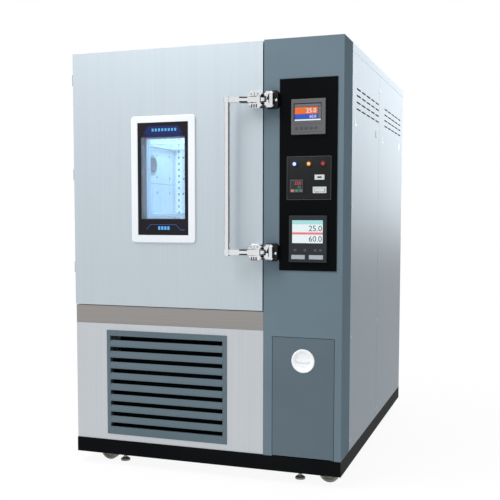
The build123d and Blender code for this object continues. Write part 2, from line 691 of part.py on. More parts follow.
with BuildPart() as port_bezels:
    block(usb_face[0], (-panel_proud - 3, -panel_proud), usb_face[1])
    block(grown(usb_face[0], -4), (-panel_proud, 24), grown(usb_face[1], -4))
    block((1133, 1151), (-20, 12), (1242.5, 1249), mode=Mode.SUBTRACT)
    block(rocker_face[0], (-panel_proud - 3, -panel_proud), rocker_face[1])
    block(grown(rocker_face[0], -4), (-panel_proud, 24), grown(rocker_face[1], -4))
    block(grown(rocker_face[0], -5.4), (-20, 20), grown(rocker_face[1], -5.4), mode=Mode.SUBTRACT)
    rod((sum(rocker_face[0]) / 2, 2, sum(rocker_face[1]) / 2), (0, 0, 1), 16, 1.5)
keep(port_bezels, "port_bezels")

with BuildPart() as rocker:
    rocker_x = grown(rocker_face[0], -6.4)
    rocker_z = grown(rocker_face[1], -6.0)
    rocker_middle = sum(rocker_x) / 2
    with BuildSketch(Plane.XY.offset(z_at(rocker_z[0]))) as paddle:
        with BuildLine():
            ends = (x_at(rocker_x[0] + 1.2), x_at(rocker_x[1] - 1.2))
            middle = x_at(rocker_middle)
            face = [(ends[0], y_at(-10)), (middle, y_at(-7)), (ends[1], y_at(-7.6)), (ends[1], y_at(0))]
            Polyline(*face, (middle + 5, y_at(7)), (middle - 5, y_at(7)), (ends[0], y_at(0)), close=True)
        make_face()
    extrude(paddle.sketch, amount=rocker_z[1] - rocker_z[0])
    rod((rocker_middle, 2, sum(rocker_z) / 2), (0, 0, 1), 40, 1.5 + running_gap, mode=Mode.SUBTRACT)
keep(rocker, "rocker")

# Machine compartment
with BuildPart() as condenser:
    core_x = (190.0, 700.0)
    core_y = (60.0, 130.0)
    core_z = (84.0, 560.0)
    block(core_x, core_y, core_z)
    for index in range(16):
        tube_z = core_z[0] + 28 + index * 28
        groove_z = grown((tube_z, tube_z), 10)
        block(grown(core_x, 1), (core_y[0] - 1, core_y[0] + 10), groove_z, mode=Mode.SUBTRACT)
    for foot_x in core_x:
        block(grown((foot_x, foot_x), 14), (core_y[0], core_y[1] + 30), (skirt_height, core_z[0]))
    fan_spot = (445.0, 322.0)
    ring = [(184, 0), (192, 0), (192, 60), (184, 60)]
    turned(ring, (fan_spot[0], core_y[1], fan_spot[1]), (0, 1, 0))
    rod((fan_spot[0], core_y[1] + 94, fan_spot[1]), (0, 1, 0), 70, 45)
    long_arm = [grown((middle, middle), 190) for middle in fan_spot]
    short_arm = [grown((middle, middle), 8) for middle in fan_spot]
    strut_y = (core_y[1] + 52, core_y[1] + 60)
    block(long_arm[0], strut_y, short_arm[1])
    block(short_arm[0], strut_y, long_arm[1])
    rod((fan_spot[0], core_y[1] + 55, fan_spot[1]), (0, 1, 0), 60, 6, mode=Mode.SUBTRACT)
keep(condenser, "condenser")

with BuildPart() as condenser_fan:
    hub_profile = [(0, 12), (34, 12), (38, 18), (38, 44), (0, 44)]
    turned(hub_profile, (fan_spot[0], core_y[1], fan_spot[1]), (0, 1, 0))
    rod((fan_spot[0], core_y[1] + 58, fan_spot[1]), (0, 1, 0), 30, 5.94)
    hub_plane = Plane(origin=place(fan_spot[0], core_y[1] + 29, fan_spot[1]), z_dir=(0, 1, 0))
    with Locations(hub_plane):
        with PolarLocations(102, 5):
            with Locations(Location((0, 0, 0), (28, 0, 0))):
                Box(146, 62, 2.5)
keep(condenser_fan, "condenser_fan")

with BuildPart() as compressors:
    for shell_x in (250, 600):
        shell = [(0, 14), (100, 14), (118, 40), (118, 265), (80, 312), (0, 318)]
        turned(shell, (shell_x, 760, skirt_height), (0, 0, 1))
        block(grown((shell_x, shell_x), 130), (640, 880), (skirt_height + 10, skirt_height + 16))
        with Locations(place(shell_x, 760, skirt_height + 5)):
            with GridLocations(220, 200, 2, 2):
                Cylinder(16, 10)
        rod((shell_x + 60, 760, 390), (0, 0, 1), 60, 8)
        rod((shell_x - 40, 800, 390), (0, 0, 1), 60, 6)
keep(compressors, "compressors")

with BuildPart() as electrical_chassis:
    block((908, 911), (300, 1150), (700, 1600))
    with Locations(place(903.1, 725, 1150)):
        for spread_y in (-400, 400):
            for spread_z in (-420, 420):
                with Locations((0, spread_y, spread_z)):
                    Box(10, 20, 20)
    for row_z in (900, 1120, 1340):
        block((911, 919), (340, 1110), (row_z - 18, row_z + 18))
    with Locations(place(954, 560, 1120)):
        for step_y in range(4):
            for step_z in (-220, 0, 220):
                with Locations((0, (step_y - 1.5) * 92, step_z)):
                    Box(70, 64, 84)
    block((919, 1010), (820, 1060), (1270, 1420))
    block((919, 1030), (840, 1040), (820, 980))
keep(electrical_chassis, "electrical_chassis")

# Rear services: water inlet and drain stubs, and the gland for the supply lead
stub_y = body_depth
with BuildPart() as rear_fittings:
    for spot, bore in ((drain_spot, 8), (inlet_spot, 5)):
        wall = bore + 3
        stub = [(bore, 0), (wall + 7, 0), (wall + 7, 6), (wall, 6), (wall, pipe_reach), (bore, pipe_reach)]
        turned(stub, (spot[0], stub_y, spot[1]), (0, 1, 0))
    gland = [(9, 0), (22, 0), (22, 8), (18, 10), (18, 20), (20, 22), (20, 34), (15, 40), (9, 40)]
    turned(gland, (gland_spot[0], stub_y, gland_spot[1]), (0, 1, 0))
keep(rear_fittings, "rear_fittings")

# Door: outer pan, foam, inner pan with a raised step, gasket and window
window_wall = 1.5
step_x = grown(cavity[0], -plug_inset)
step_z = grown(cavity[2], -plug_inset)
step_y = door_depth + plug_depth

with BuildPart() as door_skin:
    block((0, door_width), (0, door_depth - sheet), (door_foot, door_top))
    offset(amount=-sheet, openings=door_skin.faces().sort_by(Axis.Y)[-1])
    block(grown(opening[0], window_wall), (-1, 5), grown(opening[1], window_wall), mode=Mode.SUBTRACT)
keep(door_skin, "door_skin")

with BuildPart() as door_liner:
    block(step_x, (door_depth - 6, step_y), step_z)
    offset(amount=-sheet, openings=door_liner.faces().sort_by(Axis.Y)[0])
    block((0, door_width), (door_depth - sheet, door_depth), (door_foot, door_top))
    inside_x = grown(step_x, -sheet)
    inside_z = grown(step_z, -sheet)
    block(inside_x, (door_depth - 10, door_depth + 1), inside_z, mode=Mode.SUBTRACT)
    block(grown(step_x, 1), (door_depth - 10, door_depth - sheet), grown(step_z, 1), mode=Mode.SUBTRACT)
    block(grown(opening[0], window_wall), (0, step_y), grown(opening[1], window_wall))
    block(opening[0], (-1, step_y + 1), opening[1], mode=Mode.SUBTRACT)
keep(door_liner, "door_liner")

with BuildPart() as door_foam:
    block(grown((0, door_width), -sheet), (sheet, door_depth - sheet), grown((door_foot, door_top), -sheet))
    block(inside_x, (door_depth - sheet, step_y - sheet), inside_z)
    block(grown(opening[0], window_wall), (0, 200), grown(opening[1], window_wall), mode=Mode.SUBTRACT)
keep(door_foam, "door_foam")

with BuildPart() as door_gasket:
    gasket_y = (door_depth, door_depth + gasket_depth)
    outer_ring = ((44.0, 853.0), (730.0, 1767.0))
    block(outer_ring[0], gasket_y, outer_ring[1])
    block(grown(outer_ring[0], -34), (0, 200), grown(outer_ring[1], -34), mode=Mode.SUBTRACT)
    block(grown(outer_ring[0], -10), (door_depth + 6, 200), grown(outer_ring[1], -10), mode=Mode.SUBTRACT)
    block(grown(outer_ring[0], -24), gasket_y, grown(outer_ring[1], -24))
    block(grown(outer_ring[0], -34), (0, 200), grown(outer_ring[1], -34), mode=Mode.SUBTRACT)
keep(door_gasket, "door_gasket")

with BuildPart() as window_frame:
    block(frame_rim[0], (-7, 0), frame_rim[1])
    fillet(window_frame.edges().filter_by(Axis.Y), radius=16)
    fillet(window_frame.faces().sort_by(Axis.Y)[0].edges(), radius=4)
    block(glass[0], (-9, 9), glass[1], mode=Mode.SUBTRACT)
keep(window_frame, "window_frame")

with BuildPart() as window_panes:
    block(glass[0], (-5, 0), glass[1])
    block(opening[0], (46, 50), opening[1])
    block(opening[0], (step_y - 8, step_y - 4), opening[1])
keep(window_panes, "window_panes")

# Door hinges: half leaves on the door and on the cabinet side, the pin fixed in the lower one
leaf_thickness = 6.0
knuckle_height = 50.0
hinge_x, hinge_y = hinge_axis

with BuildPart() as cabinet_hinges:
    for hinge_z in hinge_heights:
        lower_half = (hinge_z - knuckle_height, hinge_z - 0.5)
        block((-leaf_thickness, 0), (hinge_y + 10, hinge_y + 104), lower_half)
        block((hinge_x, 0), (hinge_y + 8, hinge_y + 13), lower_half)
        rod((hinge_x, hinge_y, hinge_z - 25.25), (0, 0, 1), 49.5, knuckle_radius)
        rod((hinge_x, hinge_y, hinge_z + 20), (0, 0, 1), 58, hinge_pin_radius)
keep(cabinet_hinges, "cabinet_hinges")

with BuildPart() as door_hinges:
    for hinge_z in hinge_heights:
        upper_half = (hinge_z + 0.5, hinge_z + knuckle_height)
        block((-leaf_thickness, 0), (4, hinge_y - 10), upper_half)
        block((hinge_x, 0), (hinge_y - 13, hinge_y - 8), upper_half)
        rod((hinge_x, hinge_y, hinge_z + 25.25), (0, 0, 1), 49.5, knuckle_radius)
        pin_bore = hinge_pin_radius + running_gap
        rod((hinge_x, hinge_y, hinge_z + 24), (0, 0, 1), 60, pin_bore, mode=Mode.SUBTRACT)
keep(door_hinges, "door_hinges")

# Two-point latch: housings on the door, keepers on the tower, levers joined by the pull bar
housing_x = (844.0, 908.0)
housing_half = 35.0
lever_slot = 14.5
pivot_x, pivot_y = handle_pivot
bar_x, bar_y = handle_bar_at

with BuildPart() as latch_housings:
    for latch_z in latch_heights:
        wide = (housing_x[1] - housing_x[0]) / 2
        shoulder = [(-wide, -18), (-16, -housing_half), (16, -housing_half), (wide, -22)]
        crown = [(wide, 22), (16, housing_half), (-16, housing_half), (-wide, 18)]
        middle = (sum(housing_x) / 2, latch_z)
        with BuildSketch(Plane.XZ.offset(-y_at(0))) as housing_face:
            with BuildLine():
                Polyline(*around(middle, shoulder + crown), close=True)
            make_face()
        extrude(amount=48)
    front_faces = latch_housings.faces().filter_by(Axis.Y).group_by(Axis.Y)[0]
    chamfer(front_faces.edges(), length=5)
    for latch_z in latch_heights:
        block((800, 930), (-60, -5), grown((latch_z, latch_z), lever_slot), mode=Mode.SUBTRACT)
        block((door_width - 2, 930), (-5.5, 1), grown((latch_z, latch_z), 60), mode=Mode.SUBTRACT)
        rod((pivot_x, pivot_y, latch_z), (0, 0, 1), 2 * lever_slot + 8, 5)
keep(latch_housings, "latch_housings")

with BuildPart() as handle_levers:
    for latch_z in latch_heights:
        with BuildSketch(Plane.XY.offset(z_at(latch_z) - 11)) as arm:
            with BuildLine():
                hub = (x_at(pivot_x), y_at(pivot_y))
                grip = (x_at(bar_x), y_at(bar_y))
                upper = [(hub[0] - 6, hub[1] + 9), (hub[0] - 56, hub[1] + 2), (grip[0] + 4, grip[1] + 15)]
                lower = [(grip[0], grip[1] - 15), (hub[0] - 52, hub[1] - 24), (hub[0] + 2, hub[1] - 12)]
                Polyline(*upper, *lower, close=True)
            make_face()
        extrude(arm.sketch, amount=22)
        rod((pivot_x, pivot_y, latch_z), (0, 0, 1), 28, 13)
        rod((bar_x, bar_y, latch_z), (0, 0, 1), 24, lever_eye_radius)
        with BuildSketch(Plane.XY.offset(z_at(latch_z) - 7)) as cam:
            with Locations((x_at(pivot_x) + 12, y_at(pivot_y))):
                SlotCenterToCenter(14, 16)
        extrude(cam.sketch, amount=14)
        rod((pivot_x, pivot_y, latch_z), (0, 0, 1), 40, 5 + running_gap, mode=Mode.SUBTRACT)
        rod((bar_x, bar_y, latch_z), (0, 0, 1), 40, handle_bar_radius, mode=Mode.SUBTRACT)
keep(handle_levers, "handle_levers")

with BuildPart() as handle_bar:
    low, high = handle_bar_ends
    tube_wall = 2.0
    wall_in = handle_bar_radius - tube_wall
    cap = handle_bar_radius
    section = [(0, low), (cap - 2, low), (cap, low + 2), (cap, high - 2), (cap - 2, high), (0, high)]
    turned(section, (bar_x, bar_y, 0), (0, 0, 1))
    rod((bar_x, bar_y, (low + high) / 2), (0, 0, 1), high - low - 8, wall_in, mode=Mode.SUBTRACT)
keep(handle_bar, "handle_bar")

keeper_x = (913.0, 968.0)
keeper_cap_x = (913.0, 955.0)
keeper_base_depth = 24.0
keeper_depth = 44.0


def keeper_outline(span, latch_z, half):
    """A keeper's face: an oblong with its four corners cut off."""
    wide = (span[1] - span[0]) / 2
    left_side = [(-wide, 12 - half), (12 - wide, -half), (wide - 8, -half), (wide, 8 - half)]
    right_side = [(wide, half - 8), (wide - 8, half), (12 - wide, half), (-wide, half - 12)]
    return around((sum(span) / 2, latch_z), left_side + right_side)


with BuildPart() as latch_keepers:
    for latch_z in latch_heights:
        for span, half, depth in ((keeper_x, 36, keeper_base_depth), (keeper_cap_x, 33, keeper_depth)):
            with BuildSketch(Plane.XZ.offset(-y_at(0))) as keeper_face:
                with BuildLine():
                    Polyline(*keeper_outline(span, latch_z, half), close=True)
                make_face()
            extrude(amount=depth)
    front_faces = latch_keepers.faces().filter_by(Axis.Y).group_by(Axis.Y)[0]
    chamfer(front_faces.edges(), length=5)
    for latch_z in latch_heights:
        block((900, 926), (-60, -6), grown((latch_z, latch_z), 12), mode=Mode.SUBTRACT)
keep(latch_keepers, "latch_keepers")
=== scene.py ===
import bpy
import math
from mathutils import Matrix, Vector


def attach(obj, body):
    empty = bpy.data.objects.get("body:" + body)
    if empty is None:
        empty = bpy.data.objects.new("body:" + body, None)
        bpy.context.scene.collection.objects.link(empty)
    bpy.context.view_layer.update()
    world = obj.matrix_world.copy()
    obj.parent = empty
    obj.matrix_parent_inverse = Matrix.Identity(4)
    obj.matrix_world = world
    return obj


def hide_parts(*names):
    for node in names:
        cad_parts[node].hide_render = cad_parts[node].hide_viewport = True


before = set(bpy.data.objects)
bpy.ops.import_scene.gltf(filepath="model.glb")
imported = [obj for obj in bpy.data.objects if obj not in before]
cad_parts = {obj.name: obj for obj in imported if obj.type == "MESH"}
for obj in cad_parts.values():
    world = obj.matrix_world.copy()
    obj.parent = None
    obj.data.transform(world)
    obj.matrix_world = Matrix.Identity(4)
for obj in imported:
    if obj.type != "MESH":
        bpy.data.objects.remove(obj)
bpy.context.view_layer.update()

# Places on the cabinet are in millimetres: across from its left side, behind its front face and
# above its skirt's foot
LEFT_SIDE = -605.0
FRONT_FACE = -806.25
SKIRT_FOOT = 52.0


def at(across, behind, above):
    """A place on the cabinet, in metres in the frame."""
    return Vector((LEFT_SIDE + across, FRONT_FACE + behind, SKIRT_FOOT + above)) / 1000


def inset(limits, margin):
    """Two limits, each drawn in by a margin."""
    return limits[0] + margin, limits[1] - margin


def deselect():
    bpy.ops.object.select_all(action="DESELECT")


# Shader nodes

# Most of a noise lies between these two values
NOISE_SPAN = (0.3, 0.7)
WHOLE_SPAN = (0.0, 1.0)


def linear(colour):
    """An sRGB hex colour as linear RGBA."""
    channels = [int(colour[i:i + 2], 16) / 255 for i in (1, 3, 5)]
    return [c / 12.92 if c <= 0.04045 else ((c + 0.055) / 1.055) ** 2.4 for c in channels] + [1.0]


def add(tree, kind, values=None, links=None):
    """Adds one node with its settings and its incoming links. Stops are a ramp's places and
    colours."""
    node = tree.nodes.new(kind)
    for name, value in (values or {}).items():
        if name == "stops":
            for element, (place, colour) in zip(node.color_ramp.elements, value):
                element.position = place
                element.color = linear(colour)
        elif isinstance(name, str) and hasattr(node, name):
            setattr(node, name, value)
        else:
            node.inputs[name].default_value = value
    for name, source in (links or {}).items():
        tree.links.new(source, node.inputs[name])
    return node


def blank(name):
    """A material with an empty node tree."""
    material = bpy.data.materials.new(name)
    material.use_nodes = True
    material.node_tree.nodes.clear()
    return material, material.node_tree


def object_place(tree):
    """Where each point is on its piece, in metres."""
    return add(tree, "ShaderNodeTexCoord").outputs["Object"]


def noise(tree, place, scale, detail=2.0, roughness=0.5):
    """A cloudy pattern between 0 and 1."""
    values = {"Scale": scale, "Detail": detail, "Roughness": roughness}
    return add(tree, "ShaderNodeTexNoise", values, {"Vector": place}).outputs["Fac"]


def two_colours(tree, pattern, low, high, span=NOISE_SPAN):
    """Two near colours, blended where the pattern is within its span."""
    stops = tuple(zip(span, (low, high)))
    return add(tree, "ShaderNodeValToRGB", {"stops": stops}, {"Fac": pattern}).outputs["Color"]


def mapped(tree, value, source, target):
    """A value carried from one pair of limits to another, and held between them."""
    limits = {"From Min": source[0], "From Max": source[1],
              "To Min": target[0], "To Max": target[1]}
    return add(tree, "ShaderNodeMapRange", limits, {"Value": value}).outputs["Result"]


def bumps(tree, pattern, relief):
    """Bumps that follow the pattern, as deep as the relief in millimetres."""
    bump = add(tree, "ShaderNodeBump", {"Distance": relief / 1000}, {"Height": pattern})
    return bump.outputs["Normal"]


def surface(tree, values, links):
    """The shader, joined to its material's output."""
    shader = add(tree, "ShaderNodeBsdfPrincipled", values, links)
    add(tree, "ShaderNodeOutputMaterial", links={"Surface": shader.outputs["BSDF"]})


# Kinds of material

def brushed(name, low, high, rough, metallic=1.0, width=5.0, length=900.0, along="Z",
            relief=0.001, edge="#FFFFFF"):
    """Metal sheet ground or drawn along one direction: grain lines of a given width and length in
    millimetres give it long soft streaks and stretch its highlights. The edge colour is what it
    keeps of them when seen from nearly along the sheet."""
    material, tree = blank(name)
    scale = [1000 / (length if axis == along else width) for axis in "XYZ"]
    drawn = add(tree, "ShaderNodeMapping", {"Scale": scale}, {"Vector": object_place(tree)})
    grain = noise(tree, drawn.outputs["Vector"], 1.0, detail=3.0, roughness=0.55)
    surface(tree, {"Metallic": metallic, "Specular Tint": linear(edge)},
            {"Base Color": two_colours(tree, grain, low, high, (0.25, 0.75)),
             "Roughness": mapped(tree, grain, NOISE_SPAN, rough),
             "Normal": bumps(tree, grain, relief)})
    return material


def coated(name, low, high, rough, specular, grit=2.2, relief=0.03):
    """A coat: broad clouds of two near colours, and a fine peel or grain, whose size and depth
    are in millimetres, that breaks up its highlights."""
    material, tree = blank(name)
    place = object_place(tree)
    peel = noise(tree, place, 1000 / grit)
    clouds = noise(tree, place, 3.0)
    surface(tree, {"IOR": 1.5, "Specular IOR Level": specular},
            {"Base Color": two_colours(tree, clouds, low, high),
             "Roughness": mapped(tree, peel, NOISE_SPAN, rough),
             "Normal": bumps(tree, peel, relief)})
    return material


def moulded(name, low, high, rough=(0.35, 0.45), specular=0.5, relief=0.008):
    """Moulded plastic or rubber: like a coat, with a fainter mould grain, 1.5 mm in size."""
    return coated(name, low, high, rough, specular, 1.5, relief)


def lit(name, low, high, strength=1.0):
    """A backlit display or a lamp behind clear plastic: its own light in two near colours, in
    cells drawn 2 mm wide, because the real ones, a third of a millimetre, wouldn't show."""
    material, tree = blank(name)
    cells = noise(tree, object_place(tree), 500.0, detail=1.0)
    surface(tree, {"Base Color": linear("#08090A"), "Emission Strength": strength, "IOR": 1.5,
                   "Specular IOR Level": 0.2},
            {"Emission Color": two_colours(tree, cells, low, high, (0.35, 0.65)),
             "Roughness": mapped(tree, cells, WHOLE_SPAN, (0.25, 0.35))})
    return material


def clear_glass():
    """Toughened float glass: lets nearly everything through, with a faint cool film and a sharp
    sheen."""
    material, tree = blank("toughened_glass")
    film = noise(tree, object_place(tree), 6.0)
    surface(tree, {"IOR": 1.5, "Alpha": 0.06},
            {"Base Color": two_colours(tree, film, "#DDEFFA", "#EDF7FC"),
             "Roughness": mapped(tree, film, WHOLE_SPAN, (0.02, 0.06))})
    return material


# Materials: each is named for the real one

# Stainless sheet, grade 304, ground vertically. The real grain is a tenth of a millimetre wide,
# so it is drawn 5 mm wide: faint upright streaks and broad soft highlights.
door_steel = brushed("brushed_stainless_door", "#B8C2C9", "#BEC8CF", (0.42, 0.48), 0.65)
# The side panels and top cover are the same sheet in a darker copy: painted shade for their being
# less lit than the door
side_steel = brushed("brushed_stainless_sides", "#8F969C", "#969DA3", (0.40, 0.46), 0.95,
                     edge="#D6DADD")
lower_steel = brushed("brushed_stainless_lower_panel", "#BEC2C6", "#C4C8CC", (0.40, 0.46), 0.7)
# The same sheet ground sideways and coloured darker: the folded rail under the door looks warm grey
# beside it.
rail_steel = brushed("brushed_stainless_rail", "#94908E", "#9B9795", (0.36, 0.44), along="X")
# Bright annealed sheet: nearly a mirror, so the working space looks pale and lit all round.
liner_steel = brushed("bright_annealed_stainless", "#D6E4ED", "#DCE9F1", (0.27, 0.30), 0.5,
                      relief=0.0002)
# The slotted uprights in it are pickled and paler, so they show as white strips.
upright_steel = brushed("pickled_stainless_uprights", "#EDF3F6", "#F4F8FA", (0.30, 0.36), 0.3,
                        relief=0.0002)
# Cast and glass-blasted steel: a short even grain, softer than the sheet's.
satin_steel = brushed("satin_stainless_fittings", "#A9ADB0", "#BDC1C4", (0.24, 0.32),
                      width=2.0, length=60.0)
# Electroplated zinc: dull blue-grey with broad cloudy patches.
zinc = brushed("zinc_plated_steel", "#989C9E", "#ABAFB1", (0.38, 0.50), 0.9,
               width=30.0, length=45.0)
# Yellow-passivated zinc on the levelling feet: the same plate, turned olive.
olive_zinc = brushed("yellow_passivated_zinc", "#9FA093", "#ACADA0", (0.45, 0.55), 0.4,
                     width=20.0, length=30.0)
# Decorative chromium plate: sharp reflections in a slightly cool grey.
chrome = brushed("chrome_plate", "#DADCDF", "#E3E5E7", (0.05, 0.10),
                 width=3.0, length=30.0, relief=0.0003)
# Mill-finish aluminium fins and blades.
aluminium = brushed("mill_finish_aluminium", "#B4B8BC", "#C6CACD", (0.30, 0.40),
                    width=4.0, length=40.0)
# Electropolished shelf wire: brighter than the sheet behind it.
wire = brushed("electropolished_wire", "#E2EAEE", "#EDF3F6", (0.16, 0.22), 0.5,
               width=2.0, length=60.0)
# Nickel-alloy heater sheath and steel humidifier body, browned by heat.
tinted = brushed("heat_tinted_steel", "#8B8078", "#9C948D", (0.30, 0.40),
                 width=20.0, length=30.0)
# Polyester powder coat, slate grey: even, with a fine orange peel that spreads its highlights.
tower_paint = coated("slate_powder_coat", "#6A7A84", "#6E7F88", (0.60, 0.70), 0.0)
# The tank door and the grille, lower on the tower, get darker copies of the same coat: painted
# shade for the tower's darkening towards its foot
tank_door_paint = coated("slate_powder_coat_door", "#606E76", "#64727A", (0.60, 0.70), 0.0)
grille_paint = coated("slate_powder_coat_grille", "#5C6C74", "#617179", (0.60, 0.70), 0.1)
# The same coat in black, on the skirt and the machinery.
black_paint = coated("black_powder_coat", "#08090B", "#0D0F11", (0.55, 0.65), 0.04)
# Printed polyester film over the control panel, and the black print on the window glass.
panel_film = coated("black_polyester_film", "#050607", "#090B0C", (0.36, 0.46), 0.04,
                    grit=3.0, relief=0.004)
print_black = coated("black_print_on_glass", "#17151A", "#201D23", (0.20, 0.28), 0.15,
                     grit=5.0, relief=0.001)
# Rigid polyurethane foam, sawn: open cells 4 mm across.
foam = coated("sawn_polyurethane_foam", "#CDBD8C", "#DCCD9F", (0.80, 0.90), 0.1,
              grit=4.0, relief=0.4)
# The anodised spacer bar between the window's panes.
spacer_grey = coated("grey_anodised_spacer", "#70727C", "#7B7D88", (0.45, 0.55), 0.3,
                     grit=3.0, relief=0.01)
# Black velvet on the card that only the chrome mirrors.
velvet = coated("black_velvet", "#060606", "#0A0A0A", (0.90, 0.95), 0.0)
# Moulded ABS in the instruments' greys, in white and in black.
recorder_abs = moulded("mid_grey_ABS", "#5A585A", "#646264", specular=0.3)
instrument = moulded("dark_grey_ABS", "#26292C", "#2D3033", specular=0.2)
limiter_abs = moulded("grey_ABS_limiter", "#45484A", "#4D5052", specular=0.3)
grey_abs = moulded("light_grey_ABS", "#A3A9B2", "#AEB4BC", (0.30, 0.40))
white_abs = moulded("white_ABS", "#F4F6F7", "#FAFCFC", (0.28, 0.34), relief=0.006)
frame_abs = moulded("white_ABS_window_frame", "#E2E7EB", "#E8ECF0", (0.40, 0.48), 0.3, 0.006)
pale_abs = moulded("pale_grey_ABS", "#C9CFCE", "#D2D8D7", (0.32, 0.40), relief=0.006)
black_abs = moulded("black_ABS", "#0A0B0D", "#101113", (0.32, 0.40), 0.25)
# Membrane keys, and the dark segments of a liquid crystal display.
key_grey = moulded("grey_membrane_keys", "#454A50", "#51575C", (0.50, 0.60), 0.2)
digit_dark = moulded("dark_liquid_crystal_digits", "#2B3135", "#343A3E", (0.50, 0.60), 0.1, 0.004)
# Cast polyamide castor wheels: pale olive grey, slightly waxy.
castor_nylon = moulded("cast_polyamide", "#BCBDB1", "#C8C9BD", (0.45, 0.55), 0.3)
# Extruded silicone rubber: matt, it swallows its highlights.
silicone = moulded("grey_silicone_rubber", "#50565B", "#5A6065", (0.60, 0.70), 0.2, 0.02)
# Blow-moulded polyethylene water tank: milky, soft gloss.
tank_plastic = moulded("blow_moulded_polyethylene", "#DDE1E1", "#E8EBEB", (0.40, 0.50),
                       relief=0.01)
window_glass = clear_glass()
# Backlights, display segments and the window's lit lines.
blue_glow = lit("blue_backlight", "#4AA6EE", "#6FC4FB")
line_glow = lit("dim_blue_backlight", "#2B4F94", "#3A6CB4", 0.9)
deep_glow = lit("deep_blue_backlight", "#151F58", "#1E3274", 0.9)
display_white = lit("white_backlight", "#DDEBEF", "#EEF6F8")
display_teal = lit("teal_backlight", "#8FD3D6", "#B5E6E2")
display_orange = lit("orange_backlight", "#DD5A1C", "#F0833F")
display_blue = lit("blue_display", "#2443B4", "#3B66D2")
display_red = lit("pink_backlight", "#E0666E", "#EE8A8C")
display_grey = lit("grey_backlight", "#66727C", "#8C97A0", 0.7)
digit_red = lit("red_digits", "#D83A46", "#F0606A")
digit_green = lit("green_digits", "#3C8A5C", "#62B080", 0.8)

node_finish = {
    door_steel: ("door_skin",),
    side_steel: ("left_side_panel", "front_side_panel", "rear_side_panel", "top_cover"),
    lower_steel: ("lower_front_panel",),
    rail_steel: ("front_rail",),
    liner_steel: ("inner_liner", "door_liner", "air_baffle"),
    upright_steel: ("shelf_supports",),
    wire: ("lower_shelf", "upper_shelf"),
    zinc: ("rear_panel", "electrical_chassis", "front_left_castor_fork",
           "front_right_castor_fork", "rear_castor_forks"),
    olive_zinc: ("levelling_feet",),
    tower_paint: ("tower_shell",),
    tank_door_paint: ("tank_door",),
    grille_paint: ("intake_grille",),
    # The condenser takes the black coat too, so the grille's slots in front of it show dark: partly
    # a black coil coating, partly painted shade behind the grille
    black_paint: ("base_frame", "compressors", "fan_motor", "condenser"),
    foam: ("cabinet_foam", "door_foam"),
    white_abs: ("cup_pull",),
    frame_abs: ("window_frame",),
    pale_abs: ("port_bezels", "rocker"),
    window_glass: ("window_panes",),
    silicone: ("door_gasket", "port_plug"),
    chrome: ("handle_levers", "handle_bar", "latch_housings", "latch_keepers"),
    satin_steel: ("cabinet_hinges", "door_hinges", "rear_fittings", "port_sleeve"),
    panel_film: ("panel_plate",),
    recorder_abs: ("recorder",),
    limiter_abs: ("limiter",),
    instrument: ("controller",),
    grey_abs: ("controller_left_cover", "controller_right_cover", "pilot_lamps"),
    tank_plastic: ("water_tank",),
    aluminium: ("evaporator_coil", "circulation_fan", "condenser_fan"),
    tinted: ("heater_coil", "humidifier"),
    castor_nylon: ("front_left_castor_wheel", "front_right_castor_wheel",
                   "rear_left_castor_wheel", "rear_right_castor_wheel"),
}
for finish, nodes in node_finish.items():
    for node in nodes:
        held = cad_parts[node].data.materials
        held.clear()
        held.append(finish)


# Floor and background

FLOOR_RADIUS = 14.0
# How far out, in metres, the floor's glow goes from its share near the cabinet to the whole
GLOW_REACH = (1.0, 2.6)
GLOW_SHARE = (0.93, 1.0)


def straight_rays(tree):
    """One for what is seen by the camera, in a mirror or through glass, and nought for the light
    that falls on things."""
    rays = add(tree, "ShaderNodeLightPath")
    seen = add(tree, "ShaderNodeMath", {"operation": "MAXIMUM"},
               {0: rays.outputs["Is Camera Ray"], 1: rays.outputs["Is Glossy Ray"]})
    through = add(tree, "ShaderNodeMath", {"operation": "MAXIMUM"},
                  {0: seen.outputs[0], 1: rays.outputs["Is Transmission Ray"]})
    return through.outputs[0]


def floor_finish():
    """A white studio floor. The camera and reflections see it glow white, more so further out,
    where it joins the background, and near the cabinet it still takes the soft shadow."""
    material, tree = blank("studio_floor")
    place = object_place(tree)
    tint = two_colours(tree, noise(tree, place, 0.5), "#F4F4F4", "#F8F8F8")
    matte = add(tree, "ShaderNodeBsdfDiffuse", links={"Color": tint})
    glow = add(tree, "ShaderNodeEmission", {"Color": linear("#FFFFFF"), "Strength": 1.0})
    away = add(tree, "ShaderNodeVectorMath", {"operation": "LENGTH"}, {0: place})
    whiter = mapped(tree, away.outputs["Value"], GLOW_REACH, GLOW_SHARE)
    share = add(tree, "ShaderNodeMath", {"operation": "MULTIPLY"},
                {0: straight_rays(tree), 1: whiter})
    mixed = add(tree, "ShaderNodeMixShader",
                links={0: share.outputs[0], 1: matte.outputs[0], 2: glow.outputs[0]})
    add(tree, "ShaderNodeOutputMaterial", links={"Surface": mixed.outputs[0]})
    return material


deselect()
bpy.ops.mesh.primitive_circle_add(vertices=96, radius=FLOOR_RADIUS, fill_type="NGON",
                                  location=(0, 0, 0))
floor = bpy.context.object
floor.name = "studio_floor"
floor.data.materials.append(floor_finish())

world = bpy.data.worlds.new("studio")
bpy.context.scene.world = world
world.use_nodes = True
sky = world.node_tree
sky.nodes.clear()
soft = add(sky, "ShaderNodeBackground", {"Color": linear("#F2F6FA"), "Strength": 0.5})
white = add(sky, "ShaderNodeBackground", {"Color": linear("#FFFFFF"), "Strength": 1.0})
background = add(sky, "ShaderNodeMixShader",
                 links={0: straight_rays(sky), 1: soft.outputs[0], 2: white.outputs[0]})
add(sky, "ShaderNodeOutputWorld", links={"Surface": background.outputs[0]})


# Light and camera

